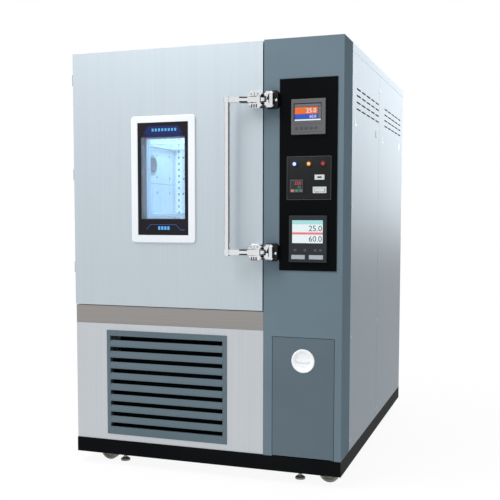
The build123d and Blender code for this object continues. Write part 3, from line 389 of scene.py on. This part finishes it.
def softbox(name, place, target, size, power, colour="#FFFFFF"):
    """A rectangular lamp at a place, turned to its target, that the camera doesn't see."""
    lamp = bpy.data.lights.new(name, "AREA")
    lamp.shape = "RECTANGLE"
    lamp.size, lamp.size_y = size
    lamp.energy = power
    lamp.color = linear(colour)[:3]
    stand = bpy.data.objects.new(name, lamp)
    bpy.context.scene.collection.objects.link(stand)
    stand.location = place
    stand.rotation_euler = (Vector(target) - Vector(place)).to_track_quat("-Z", "Y").to_euler()
    stand.visible_camera = False
    return stand


softbox("key_softbox", (-1.2, -2.6, 4.6), (0, -0.8, 1.4), size=(2.4, 2.4), power=185)
# Stands on one corner, so that its light on the side panels fades from their top to their foot
side_softbox = softbox("side_softbox", (1.2, 3.4, 2.75), (0.6, 0, 1.7), size=(3.0, 3.0), power=84)
side_softbox.rotation_euler.rotate_axis("Z", math.radians(45))
softbox("chamber_lamp", at(448, 110, 1692), at(448, 700, 1150), size=(0.6, 0.04), power=12,
        colour="#C8E6FF")

# A card in front and to the right, out of sight, gives the chromed handle and latches their dark
# side
deselect()
bpy.ops.mesh.primitive_plane_add(size=1, location=(1.3, -1.22, 1.35),
                                 rotation=(0, math.pi / 2, 0))
card = bpy.context.object
card.name = "black_card"
card.scale = (1.3, 0.76, 1)
bpy.ops.object.transform_apply(location=True, rotation=True, scale=True)
card.data.materials.append(velvet)
card.visible_camera = False
card.visible_diffuse = False
card.visible_shadow = False

# Fitted to the cabinet's straight edges: place in metres, angles in degrees, focal length in
# pixels of a picture 500 wide, and the shifts as shares of its width
CAMERA_PLACE = (1.34675, -4.17093, 1.13948)
LOOKS_DOWN = 4.245
LOOKS_LEFT = 19.29
FOCAL_PIXELS = 835.84
PICTURE_PIXELS = 500
SENSOR_WIDTH = 36
SHIFT_RIGHT = 0.03
SHIFT_UP = 0.056

camera = bpy.data.cameras.new("photo_camera")
view_point = bpy.data.objects.new("photo_camera", camera)
bpy.context.scene.collection.objects.link(view_point)
view_point.location = CAMERA_PLACE
view_point.rotation_euler = (math.radians(90 - LOOKS_DOWN), 0, math.radians(LOOKS_LEFT))
camera.sensor_width = SENSOR_WIDTH
camera.lens = FOCAL_PIXELS * SENSOR_WIDTH / PICTURE_PIXELS
camera.shift_x = SHIFT_RIGHT
camera.shift_y = SHIFT_UP
bpy.context.scene.camera = view_point
bpy.context.scene.view_settings.view_transform = "Standard"


# Making pieces

# A screw's recess, as shares of its head's radius: the flat rim round it and its sloping wall
RECESS_RIM = 0.3
RECESS_WALL = 0.08
# How nearly a face must look the same way as a round piece to be its front
FRONT_COSINE = 0.9
# How flat two faces must meet to be shaded as one
SMOOTH_ANGLE = math.radians(35)
# A digit's height as a share of the font's size, and how thick the digits are made
DIGIT_SHARE = 0.72
DIGIT_THICKNESS = 0.3


def slab(name, across, behind, above, edge=0.0, segments=2):
    """A block between its limits in millimetres, with its edges bevelled where an edge is given."""
    deselect()
    low = at(across[0], behind[0], above[0])
    high = at(across[1], behind[1], above[1])
    bpy.ops.mesh.primitive_cube_add(size=1, location=(low + high) / 2)
    piece = bpy.context.object
    piece.name = name
    piece.scale = high - low
    bpy.ops.object.transform_apply(location=True, rotation=True, scale=True)
    if edge:
        bpy.ops.object.mode_set(mode="EDIT")
        bpy.ops.mesh.select_all(action="SELECT")
        bpy.ops.mesh.bevel(offset=edge / 1000, segments=segments, affect="EDGES")
        bpy.ops.object.mode_set(mode="OBJECT")
    return piece


def outlined(name, corners, push, edge=0.0):
    """A flat shape with its corners at places in millimetres, pushed out along one direction."""
    deselect()
    bpy.ops.mesh.primitive_circle_add(vertices=len(corners), radius=0.01, fill_type="NGON",
                                      location=(0, 0, 0))
    piece = bpy.context.object
    piece.name = name
    for vertex, corner in zip(piece.data.vertices, corners):
        vertex.co = at(*corner)
    bpy.ops.object.mode_set(mode="EDIT")
    bpy.ops.mesh.select_all(action="SELECT")
    bpy.ops.mesh.extrude_region_move(TRANSFORM_OT_translate={"value": Vector(push) / 1000})
    bpy.ops.mesh.select_all(action="SELECT")
    bpy.ops.mesh.normals_make_consistent(inside=False)
    if edge:
        bpy.ops.mesh.bevel(offset=edge / 1000, segments=2, affect="EDGES")
    bpy.ops.object.mode_set(mode="OBJECT")
    return piece


def disc(name, middle, facing, radius, depth, edge=0.0, sides=40, dish=0.0):
    """A round piece that looks along facing, with a bevelled rim or, for a screw, a middle sunk
    by dish."""
    deselect()
    turn = Vector(facing).to_track_quat("Z", "Y").to_euler()
    bpy.ops.mesh.primitive_cylinder_add(vertices=sides, radius=radius / 1000, depth=depth / 1000,
                                        location=at(*middle), rotation=turn)
    piece = bpy.context.object
    piece.name = name
    bpy.ops.object.transform_apply(location=True, rotation=True, scale=True)
    front = Vector(facing).normalized()
    for face in piece.data.polygons:
        face.select = face.normal.dot(front) > FRONT_COSINE
    bpy.context.tool_settings.mesh_select_mode = (False, False, True)
    bpy.ops.object.mode_set(mode="EDIT")
    if dish:
        bpy.ops.mesh.inset(thickness=radius * RECESS_RIM / 1000, depth=0)
        bpy.ops.mesh.inset(thickness=radius * RECESS_WALL / 1000, depth=-dish / 1000)
    elif edge:
        bpy.ops.mesh.bevel(offset=edge / 1000, segments=3, affect="EDGES")
    bpy.ops.object.mode_set(mode="OBJECT")
    return piece


def cut(piece, tool):
    """Takes the tool's shape out of the piece."""
    deselect()
    bpy.context.view_layer.objects.active = piece
    piece.select_set(True)
    opening = piece.modifiers.new("opening", "BOOLEAN")
    opening.operation = "DIFFERENCE"
    opening.solver = "EXACT"
    opening.object = tool
    bpy.ops.object.modifier_apply(modifier=opening.name)
    bpy.data.objects.remove(tool)


def joined(name, members):
    """Several meshes made one piece."""
    deselect()
    for member in members:
        member.select_set(True)
    bpy.context.view_layer.objects.active = members[0]
    bpy.ops.object.join()
    members[0].name = name
    return members[0]


def copies(piece, offsets):
    """The piece and its copies, each with its own mesh, at offsets in millimetres."""
    made = [piece]
    for offset in offsets:
        twin = piece.copy()
        twin.data = piece.data.copy()
        bpy.context.scene.collection.objects.link(twin)
        twin.data.transform(Matrix.Translation(Vector(offset) / 1000))
        made.append(twin)
    return made


def fitted(piece, finish, body):
    """Gives a finished piece its material and its place in the part."""
    piece.data.materials.clear()
    piece.data.materials.append(finish)
    deselect()
    piece.select_set(True)
    bpy.context.view_layer.objects.active = piece
    bpy.ops.object.shade_smooth_by_angle(angle=SMOOTH_ANGLE)
    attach(piece, body)


def figures(name, words, right_foot, height):
    """Plain numbers, set with their right foot at a place on the front."""
    deselect()
    bpy.ops.object.text_add(location=at(*right_foot), rotation=(math.pi / 2, 0, 0))
    text = bpy.context.object
    text.data.body = words
    text.data.align_x = "RIGHT"
    text.data.size = height / 1000 / DIGIT_SHARE
    text.data.extrude = DIGIT_THICKNESS / 1000 / 2
    text.data.resolution_u = 3
    bpy.ops.object.convert(target="MESH")
    text = bpy.context.object
    text.name = name
    bpy.ops.object.transform_apply(location=True, rotation=True, scale=True)
    return text


def band(name, points, radius, behind):
    """A thin raised line through points, given across and above, on the front."""
    deselect()
    path = bpy.data.curves.new(name, "CURVE")
    path.dimensions = "3D"
    path.bevel_depth = radius / 1000
    path.bevel_resolution = 2
    path.use_fill_caps = True
    line = path.splines.new("POLY")
    line.points.add(len(points) - 1)
    for point, (across, above) in zip(line.points, points):
        point.co = (*at(across, behind, above), 1)
    piece = bpy.data.objects.new(name, path)
    bpy.context.scene.collection.objects.link(piece)
    piece.select_set(True)
    bpy.context.view_layer.objects.active = piece
    bpy.ops.object.convert(target="MESH")
    return bpy.context.object


# The door's window: black print on the glass, lit lines on it, and the spacer between the panes
GLASS_ACROSS = (322.0, 562.5)
GLASS_ABOVE = (1003.5, 1494.0)
CLEAR_ACROSS = (338.5, 546.0)
CLEAR_ABOVE = (1074.0, 1430.0)
GLASS_FRONT = -5.1
PRINT_FRONT = -5.8
# How far within the clear glass's edge the spacer's two faces are
SPACER_OUTSIDE = 0.2
SPACER_INSIDE = 2.2
# How far a cutting tool reaches, to go right through what lies on the front or the spacer
THROUGH_FRONT = (-9, 0)
THROUGH_SPACER = (-5, 60)


def lit_marks(name, across, behind, above, pitch, count):
    """A row of equal lit marks in the window's print."""
    first = slab(name, across, behind, above, 0.2)
    row = copies(first, [(pitch * n, 0, 0) for n in range(1, count)])
    fitted(joined(name, row), blue_glow, "door")


def window():
    border = slab("window_print", inset(GLASS_ACROSS, 0.3), (PRINT_FRONT, GLASS_FRONT),
                  inset(GLASS_ABOVE, 0.3))
    cut(border, slab("print_tool", CLEAR_ACROSS, THROUGH_FRONT, CLEAR_ABOVE))
    fitted(border, print_black, "door")
    spacer = slab("window_spacer", inset(CLEAR_ACROSS, SPACER_OUTSIDE), (0.4, 45.6),
                  inset(CLEAR_ABOVE, SPACER_OUTSIDE))
    cut(spacer, slab("spacer_tool", inset(CLEAR_ACROSS, SPACER_INSIDE), THROUGH_SPACER,
                     inset(CLEAR_ABOVE, SPACER_INSIDE)))
    fitted(spacer, spacer_grey, "door")

    corners = [(352, 1448), (372, 1478), (515, 1478), (535, 1448), (515, 1440), (372, 1440)]
    places = [(across, -5.7, above) for across, above in corners]
    glow = outlined("window_top_glow", places, (0, -0.4, 0))
    fitted(glow, deep_glow, "door")
    strip = slab("window_top_strip", (348, 538), (-6.1, -5.7), (1431.5, 1438.5), 0.1)
    fitted(strip, deep_glow, "door")
    lit_marks("window_top_marks", (391, 400), (-6.5, -6.0), (1455, 1467), pitch=15.3, count=8)

    points = [(363, 1028), (381, 1049.5), (503, 1049.5), (524, 1027), (545, 1027)]
    line = band("window_foot_line", points, 1.1, PRINT_FRONT)
    fitted(line, line_glow, "door")
    lit_marks("window_foot_marks", (419, 429), (-6.3, -5.7), (1027, 1042), pitch=14.6, count=4)


# The working space: dark grey strips behind the uprights' slots, painted shade standing for the
# shadowed cavity there, the screws round them and a seam in each side wall. Each wall is given with
# the way it looks.
LINER_WALLS = ((108.5, 1), (788.5, -1))
BAFFLE_FRONT = 890.0
UPRIGHT_SPACING = 622.0
SLOT_PITCH = 33.3
SLOT_COUNT = 24
LINER_SCREW = {"radius": 6, "depth": 1.8, "dish": 0.7, "sides": 20}


def chamber():
    # Grey silicone strips in the slot openings: painted shade of the cavity behind the slots
    first = slab("upright_slot_backs", (133.4, 141.6), (BAFFLE_FRONT - 0.9, BAFFLE_FRONT - 0.1),
                 (867.0, 879.2))
    column = copies(first, [(0, 0, SLOT_PITCH * n) for n in range(1, SLOT_COUNT)])
    left = joined("upright_slot_backs", column)
    both = joined("upright_slot_backs", copies(left, [(UPRIGHT_SPACING, 0, 0)]))
    fitted(both, silicone, "cabinet")

    screws = []
    seams = []
    for wall, inwards in LINER_WALLS:
        for above in (1209, 1290, 1405):
            for behind in (664, 825):
                screws.append(disc("liner_screws", (wall + inwards * 0.8, behind, above),
                                   (inwards, 0, 0), **LINER_SCREW))
            screws.append(disc("liner_screws", (wall + inwards * 55, BAFFLE_FRONT - 0.8, above),
                               (0, -1, 0), **LINER_SCREW))
        seams.append(slab("liner_seams", sorted((wall, wall + inwards * 0.6)), (240, 886),
                          (1254, 1257)))
    fitted(joined("liner_screws", screws), tinted, "cabinet")
    fitted(joined("liner_seams", seams), zinc, "cabinet")


# The control panel: displays with plain numbers, keys, pilot lamps and the switch panel

def displays():
    def field(name, across, behind, above, finish):
        fitted(slab(name, across, behind, above, 0.1), finish, "cabinet")

    def number(name, words, right_foot, height, finish):
        fitted(figures(name, words, right_foot, height), finish, "cabinet")

    def keys(name, across, behind, above, steps):
        row = copies(slab(name, across, behind, above, 0.3), [(step, 0, 0) for step in steps])
        fitted(joined(name, row), key_grey, "cabinet")

    fields = (-10.1, -9.6)
    numbers = -10.3
    field("recorder_screen", (1033.5, 1149.5), (-9.7, -9.1), (1474.5, 1546.5), digit_dark)
    field("recorder_head", (1037, 1146), fields, (1533, 1543), display_grey)
    field("recorder_upper_row", (1037, 1134), fields, (1503, 1531), display_orange)
    field("recorder_lower_row", (1037, 1134), fields, (1484, 1502), display_blue)
    field("recorder_right_column", (1136, 1147), fields, (1484, 1531), display_grey)
    field("recorder_foot", (1037, 1146), fields, (1476, 1482), display_white)
    number("recorder_upper_number", "25.0", (1128, numbers, 1508), 18, display_white)
    number("recorder_lower_number", "60.0", (1128, numbers, 1487), 12, display_white)
    keys("recorder_keys", (1039, 1053), (-12.5, -11.6), (1440, 1452), (20, 40, 60, 80))

    fields = (-11.1, -10.6)
    numbers = -11.3
    field("controller_screen", (1029, 1158.5), (-10.7, -10.1), (975.5, 1069.5), display_white)
    field("controller_head", (1029.4, 1158.1), fields, (1053, 1069), display_teal)
    field("controller_rule", (1029.4, 1158.1), fields, (1011, 1020), display_red)
    number("controller_upper_number", "25.0", (1156, numbers, 1025), 24, digit_dark)
    number("controller_lower_number", "60.0", (1156, numbers, 982), 24, digit_dark)
    keys("controller_keys", (1036, 1048), (-13.6, -12.6), (941, 951), (43, 86, 108))

    numbers = -8.3
    field("limiter_screen", (1022.6, 1069.4), (-8.0, -7.1), (1199.5, 1231.5), digit_dark)
    number("limiter_upper_number", "250", (1066, numbers, 1216), 14, digit_red)
    number("limiter_lower_number", "85", (1066, numbers, 1201), 11, digit_green)
    for key, across, finish in (("red", 1023, display_red), ("green", 1041, digit_green),
                                ("blue", 1059, display_grey)):
        field(f"limiter_{key}_key", (across, across + 11), (-9.7, -8.6), (1187, 1196), finish)


# Each pilot lamp: its colour, how far across it is, and the two near colours of its lens and of
# the ring round it
LAMPS = (("blue", 1036.4, ("#D6E6FF", "#F2F8FF"), ("#10246A", "#1C3A90")),
         ("amber", 1096.6, ("#FFB45A", "#FFD796"), ("#4A2408", "#7A4216")),
         ("red", 1156.6, ("#8E2C2C", "#C4524C"), ("#3A1012", "#5A1A1C")))
LAMP_HEIGHT = 1301


def pilot_lights():
    for colour, across, core, ring in LAMPS:
        rim = disc(f"{colour}_lamp_ring", (across, -5.5, LAMP_HEIGHT), (0, -1, 0), 12, 5, edge=1.2)
        fitted(rim, lit(f"{colour}_lamp_ring", *ring, 0.7), "cabinet")
        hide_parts("pilot_lamps")
        lens = disc(f"{colour}_lamp_lens", (across, -9, LAMP_HEIGHT), (0, -1, 0), 7.2, 4, edge=2.4)
        fitted(lens, lit(f"{colour}_lamp_lens", *core), "cabinet")
        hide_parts("pilot_lamps")


def switch_panel():
    across = (1003, 1190)
    above = (1154, 1332)
    outline = slab("switch_panel_outline", across, (-3.6, -3.0), above, 0.1)
    cut(outline, slab("outline_tool", inset(across, 2), THROUGH_FRONT, inset(above, 2)))
    fitted(outline, key_grey, "cabinet")
    inside = slab("switch_panel_field", inset(across, 4), (-3.5, -2.9), inset(above, 4), 0.1)
    fitted(inside, black_abs, "cabinet")


# The latches: their middles' height, and how far the upper one is above the lower
LATCH_LOW = 936.0
LATCH_STEP = 630.0
# How far behind the front the middles of the housings' screw heads are
HOUSING_HEADS = -48.9
HOUSING_SCREW = {"radius": 4.2, "depth": 2.4, "dish": 1.2, "sides": 24}


def both_latches(piece, finish, body):
    """Makes a piece of the lower latch and its twin on the upper one into one piece."""
    pair = joined(piece.name, copies(piece, [(0, 0, LATCH_STEP)]))
    fitted(pair, finish, body)


def about_latch(low, high):
    """Two heights, given from the lower latch's middle."""
    return LATCH_LOW + low, LATCH_LOW + high


def on_plane(corners, behind):
    """Corners, given across and above the lower latch's middle, in one plane."""
    return [(across, behind, LATCH_LOW + above) for across, above in corners]


def keepers():
    """Black bases under the chromed keepers, black marks as painted shade of the slots in their
    caps, and their ridges and buttons.
    """
    half = [(912.3, 25), (924, 37.5), (962, 37.5), (970.4, 29)]
    outline = half + [(across, -above) for across, above in reversed(half)]
    base = outlined("keeper_bases", on_plane(outline, -0.2), (0, -24.6, 0), 2.0)
    cut(base, slab("notch_tool", (900, 926.4), (-60, -5.6), about_latch(-12.5, 12.5)))
    both_latches(base, black_abs, "cabinet")
    # Black marks on the keepers' chromed caps: painted shade of the recessed slots in them
    slot = [(938, 25), (938, -18), (935.6, -18), (934.6, -3), (924, -3)]
    mark = outlined("keeper_slots", on_plane(slot, -43.8), (0, -0.6, 0))
    both_latches(mark, black_abs, "cabinet")
    ridge = slab("keeper_ridges", (941, 953), (-46.5, -43.6), about_latch(-27, 27), 1.6, 3)
    both_latches(ridge, chrome, "cabinet")
    button = disc("keeper_buttons", (962.5, -27, LATCH_LOW - 4), (0, -1, 0), 6.2, 6, edge=2.6,
                  sides=32)
    both_latches(button, chrome, "cabinet")


def housings():
    """Screws on the housings, a black strip as painted shade in a slot on each, dark grey ribs low
    on each that are partly ribbing and partly painted shade under the housing, and black strips as
    painted shade at the levers' necks.
    """
    screws = [disc("housing_screws", (across, HOUSING_HEADS, LATCH_LOW + 22.5), (0, -1, 0),
                   **HOUSING_SCREW) for across in (862, 890)]
    both_latches(joined("housing_screws", screws), satin_steel, "door")
    # A black strip on each housing: painted shade of a narrow slot, not cut into the housing
    seam = slab("housing_seams", (874.5, 876.5), (-48.5, -47.6), about_latch(15.5, 29), 0.1)
    both_latches(seam, black_abs, "door")
    # Dark grey ribs low on each housing: partly ribbing, partly painted shade beneath the housing
    rib = slab("housing_ribs", (861, 867), (-48.6, -47.6), about_latch(-33.5, -19), 0.3)
    ribs = joined("housing_ribs", copies(rib, [(10, 0, 0), (20, 0, 0)]))
    both_latches(ribs, key_grey, "door")

    # Black strips on the top and bottom edges of each lever's neck: painted shade above and below
    # the stepped neck
    grip = [(815, -65.6), (838, -57.8), (847, -55.8), (847, -27.4), (836, -31), (815, -37.6)]
    necks = []
    for foot in about_latch(-11.6, 6.2):
        places = [(across, behind, foot) for across, behind in grip]
        necks.append(outlined("lever_necks", places, (0, 0, 5.4)))
    both_latches(joined("lever_necks", necks), black_abs, "handle")


# Screws on the hinges' leaves and round the right side panels, and the small catches on these
HINGES_ABOVE = (830, 1250, 1670)
# How far across the middles of the screw heads are
LEAF_HEADS = -6.9
PANEL_HEADS = 1239.9
HINGE_SCREW = {"radius": 5, "depth": 2.2, "dish": 1.2, "sides": 24}
PANEL_SCREW = {"radius": 6.5, "depth": 1.8, "dish": 0.7, "sides": 24}


def hinge_screws(name, behind_both, way, body):
    """Four screws in each leaf, above the hinge's middle or below it."""
    screws = [disc(name, (LEAF_HEADS, behind, hinge + way * rise), (-1, 0, 0), **HINGE_SCREW)
              for hinge in HINGES_ABOVE for rise in (14, 38) for behind in behind_both]
    fitted(joined(name, screws), satin_steel, body)


def side_panels():
    screws = [disc("side_panel_screws", (PANEL_HEADS, behind, above), (1, 0, 0), **PANEL_SCREW)
              for above in (110, 565, 1130, 1700) for behind in (190, 820, 862, 1630)]
    fitted(joined("side_panel_screws", screws), satin_steel, "cabinet")

    hook = [(0, 16), (0, -14), (24, -14), (24, -10), (5, -10), (5, 16)]
    # The front seam catch is dark grey ABS as painted shade: the shadow that falls on it is painted
    # into its colour. The other two are satin steel.
    for name, behind, above, finish in (("front_side_catch", 232, 1490, satin_steel),
                                        ("seam_catch_front", 744, 1482, instrument),
                                        ("seam_catch_rear", 938, 1474, satin_steel)):
        places = [(1239.0, behind + out, above + up) for out, up in hook]
        fitted(outlined(name, places, (1.9, 0, 0)), finish, "cabinet")
    stop = slab("rear_side_stop", (1238.5, 1240.9), (1490, 1520), (1466, 1498), 0.8)
    fitted(stop, white_abs, "cabinet")


window()
chamber()
displays()
pilot_lights()
switch_panel()
keepers()
housings()
hinge_screws("door_hinge_screws", (20, 50), 1, "door")
hinge_screws("cabinet_hinge_screws", (108, 162), -1, "cabinet")
side_panels()
